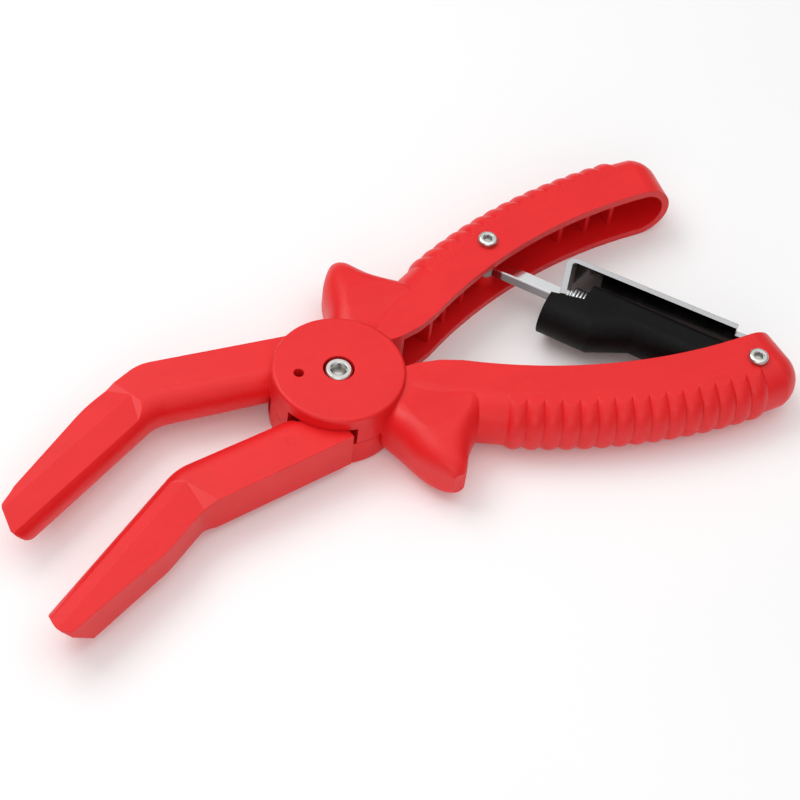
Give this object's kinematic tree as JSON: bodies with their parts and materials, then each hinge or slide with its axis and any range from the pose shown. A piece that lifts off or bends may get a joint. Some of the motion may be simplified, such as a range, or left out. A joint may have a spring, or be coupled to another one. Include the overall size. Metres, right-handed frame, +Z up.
{
  "type": "hose pinch-off pliers",
  "caption": "Nylon hose pinch-off pliers with offset jaws, bowed ribbed handles, an opening spring and a self-locking bar with a thumb release.",
  "frame": {"origin": "on the main pivot axis, on the bottom face of the lower pivot disc, which is the plane the tool lies on", "axes": "+X toward the handle ends, +Y toward the handle of arm B, +Z up along the main pivot to the screw head"},
  "size_m": [0.2916, 0.1301, 0.0262],
  "materials": {
    "red_nylon": "moulded glass-filled nylon, satin",
    "black_nylon": "moulded nylon, satin",
    "bright_steel": "zinc plated steel",
    "plated_bar": "bright plated square bar",
    "sheet_steel": "bright zinc plated steel strip",
    "spring_steel": "drawn spring wire"
  },
  "bodies": {
    "arm_b": {"arm_b": "red_nylon", "pivot_screw": "bright_steel", "pivot_nut": "bright_steel", "bar_screw": "bright_steel", "bar_nut": "bright_steel", "opening_spring": "spring_steel"},
    "arm_a": {"arm_a": "red_nylon", "arm_screw": "bright_steel", "arm_nut": "bright_steel"},
    "lock_arm": {"lock_arm": "black_nylon", "lock_spring": "spring_steel"},
    "lock_bar": {"lock_bar": "plated_bar"},
    "release_plate": {"release_plate": "sheet_steel"}
  },
  "joints": [
    {"name": "main_hinge", "type": "hinge", "parent": "arm_b", "child": "arm_a", "pos_m": [0, 0, 0.012], "axis": [0, 0, 1], "range_deg": [0, 11.7], "stiffness_Nm_per_rad": 0.5, "springref_deg": -22.92, "deforming": ["opening_spring"]},
    {"name": "lock_arm_hinge", "type": "hinge", "parent": "arm_a", "child": "lock_arm", "pos_m": [0.1464, -0.0503, 0.012], "axis": [0, 0, 1], "range_deg": [0, 3.3]},
    {"name": "bar_slide", "type": "slide", "parent": "lock_arm", "child": "lock_bar", "axis": [0.6085, -0.7936, 0], "range_m": [0, 0.0176]},
    {"name": "release_hinge", "type": "hinge", "parent": "lock_arm", "child": "release_plate", "pos_m": [0.09321, 0.00313, 0.012], "axis": [0, 0, -1], "range_deg": [0, 2.5], "stiffness_Nm_per_rad": 0.3, "springref_deg": -8.59, "deforming": ["lock_spring"]}
  ],
  "couplings": [
    {"joint": "lock_arm_hinge", "follows": "main_hinge", "ratio": 0.266},
    {"joint": "bar_slide", "follows": "main_hinge", "m_per_rad": 0.0832}
  ]
}
